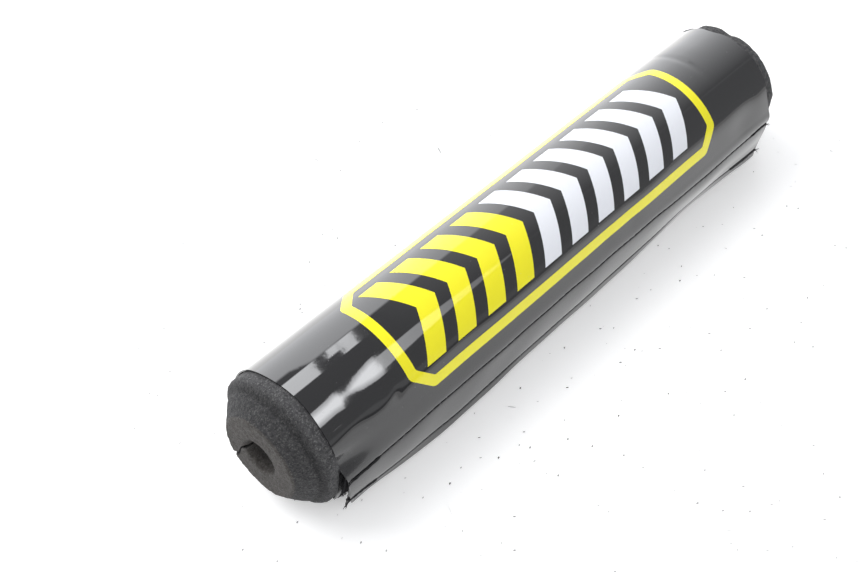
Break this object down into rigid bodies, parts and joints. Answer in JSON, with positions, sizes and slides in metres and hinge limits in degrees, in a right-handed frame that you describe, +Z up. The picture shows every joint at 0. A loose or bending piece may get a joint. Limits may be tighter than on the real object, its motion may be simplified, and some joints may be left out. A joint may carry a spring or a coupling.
{
  "type": "handlebar crossbar pad",
  "caption": "Round foam pad with a bore and a slit that clips over a handlebar crossbar, wrapped in a printed vinyl cover with a hook-and-loop closing flap.",
  "frame": {"origin": "on the axis of the crossbar bore, halfway along the pad", "axes": "+X along the bore and the pad's length; the closure faces -Y; the pad lies on its underside, so +Z is up"},
  "size_m": [0.254, 0.0507, 0.0493],
  "materials": {
    "foam": "matte",
    "vinyl": "gloss",
    "loop": "matte",
    "hook": "satin",
    "thread": "satin",
    "yellow_ink": "gloss",
    "white_ink": "gloss"
  },
  "bodies": {
    "core": {"foam_core": "foam"},
    "cover": {"cover_sheet": "vinyl", "loop_tape": "loop", "print_border": "yellow_ink", "print_yellow_chevrons": "yellow_ink", "print_white_chevrons": "white_ink", "loop_needle_thread_upper": "thread", "loop_needle_thread_lower": "thread", "loop_bobbin_thread_upper": "thread", "loop_bobbin_thread_lower": "thread"},
    "flap": {"closing_flap": "vinyl", "hook_tape": "hook", "flap_needle_thread_upper": "thread", "flap_needle_thread_lower": "thread", "flap_bobbin_thread_upper": "thread", "flap_bobbin_thread_lower": "thread"}
  },
  "joints": [
    {"name": "cover_slide", "type": "slide", "parent": "core", "child": "cover", "axis": [1, 0, 0], "range_m": [-0.127, 0.127]},
    {"name": "flap_peel", "type": "hinge", "parent": "cover", "child": "flap", "pos_m": [0, -0.02605, 0.00061], "axis": [-1, 0, 0], "range_deg": [0, 130]}
  ]
}
